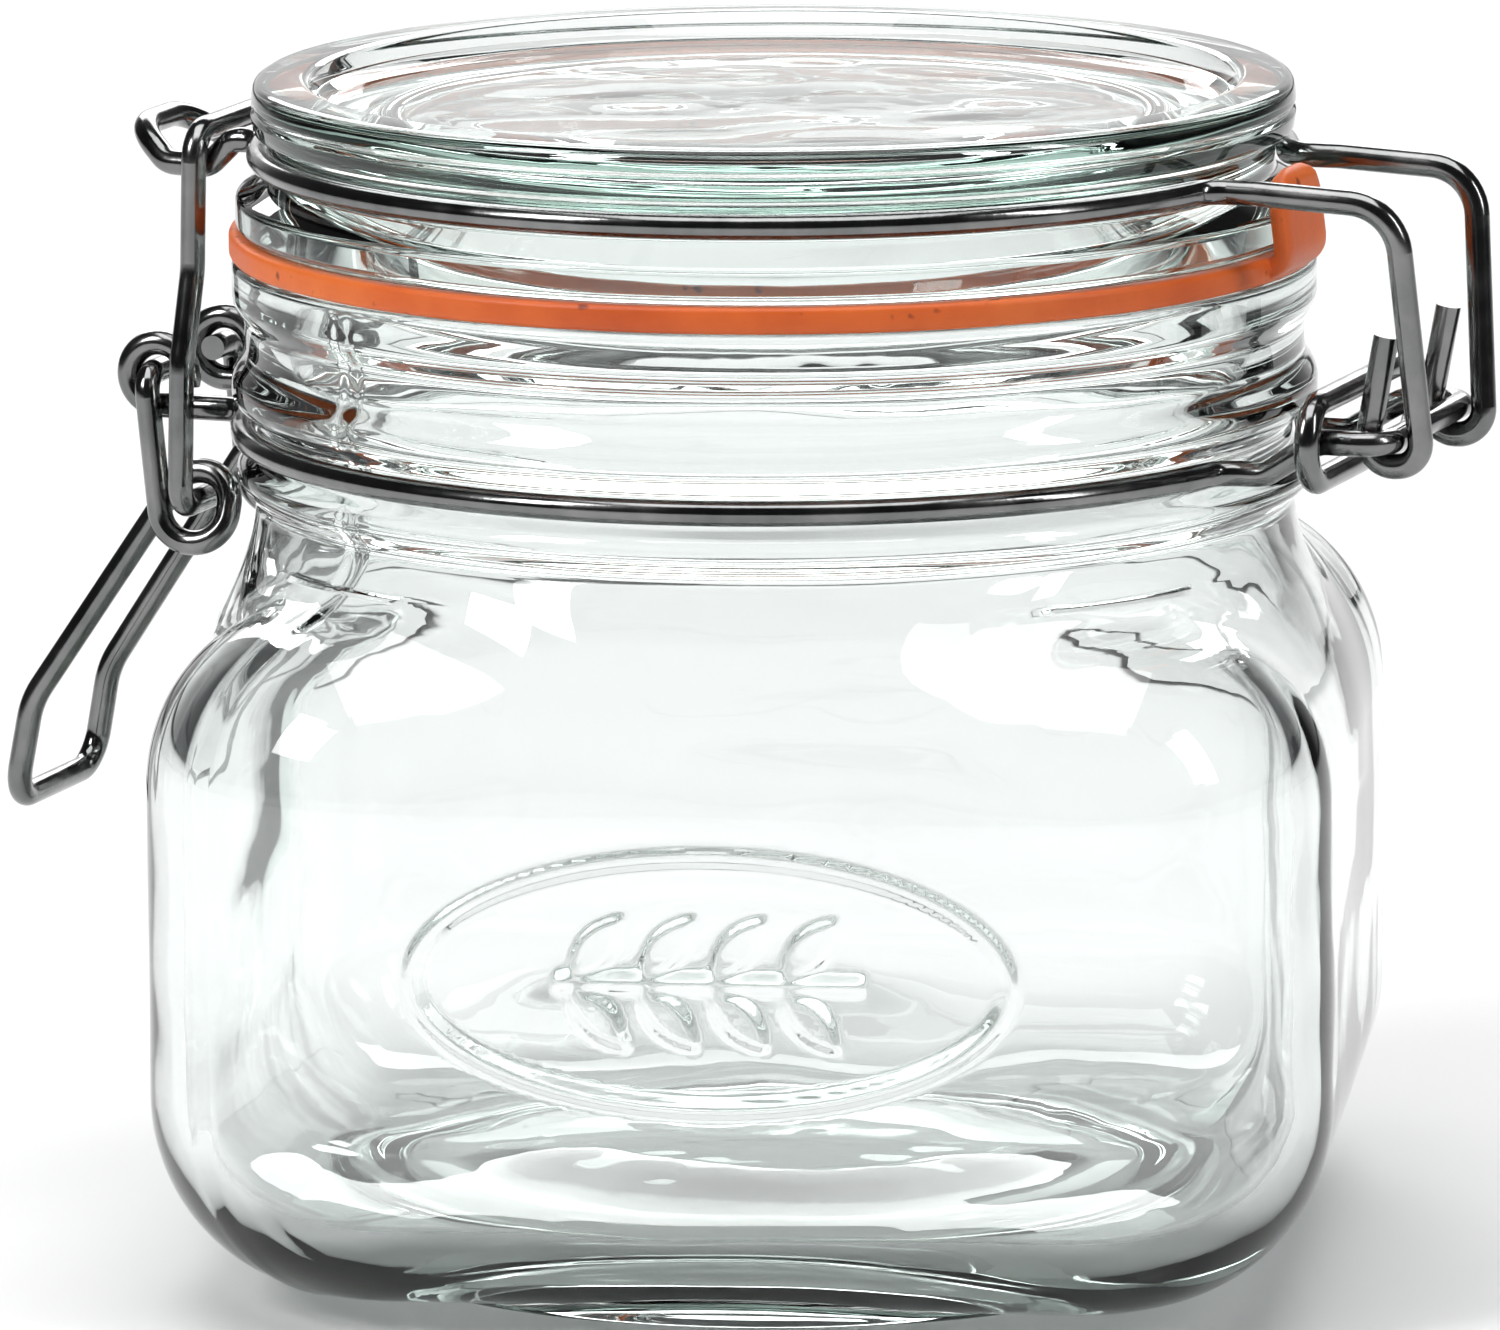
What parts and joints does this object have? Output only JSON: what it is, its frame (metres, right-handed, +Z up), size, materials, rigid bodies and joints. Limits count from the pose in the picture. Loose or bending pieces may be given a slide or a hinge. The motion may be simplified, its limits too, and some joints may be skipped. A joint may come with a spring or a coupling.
{
  "type": "bail clamp jar",
  "caption": "Square glass preserving jar with a round neck, a hinged glass lid on a rubber seal, and a wire bail clamp whose lever pulls the lid down.",
  "frame": {"origin": "centre of the foot ring, on the plane that the jar stands on", "axes": "+Z up the jar; +X towards the lid's hinge, so the clamp is at -X; every pivot runs along Y; the square glass body is turned 13.5 degrees about Z from these axes"},
  "size_m": [0.1325, 0.114, 0.1026],
  "materials": {
    "jar_glass": "clear moulded soda-lime glass, faintly green in its thick edges",
    "lid_glass": "clear pressed soda-lime glass",
    "seal_rubber": "matt orange natural rubber",
    "wire": "bright drawn steel wire"
  },
  "bodies": {
    "jar": {"glass_jar": "jar_glass", "neck_ring": "wire", "neck_ring_tie": "wire"},
    "lid": {"glass_lid": "lid_glass", "lid_ring": "wire", "rubber_seal": "seal_rubber"},
    "lever": {"lever": "wire"},
    "link": {"link_bail": "wire"}
  },
  "joints": [
    {"name": "lid_hinge", "type": "hinge", "parent": "jar", "child": "lid", "pos_m": [0.0594, 0, 0.075], "axis": [0, 1, 0], "range_deg": [0, 180]},
    {"name": "lever_pivot", "type": "hinge", "parent": "jar", "child": "lever", "pos_m": [-0.055, 0, 0.07495], "axis": [0, 1, 0], "range_deg": [0, 110]},
    {"name": "link_pivot", "type": "hinge", "parent": "lever", "child": "link", "pos_m": [-0.0508, 0, 0.0638], "axis": [0, 1, 0], "range_deg": [-88, 0]}
  ],
  "couplings": [
    {"joint": "link_pivot", "follows": "lever_pivot", "ratio": -0.8}
  ]
}
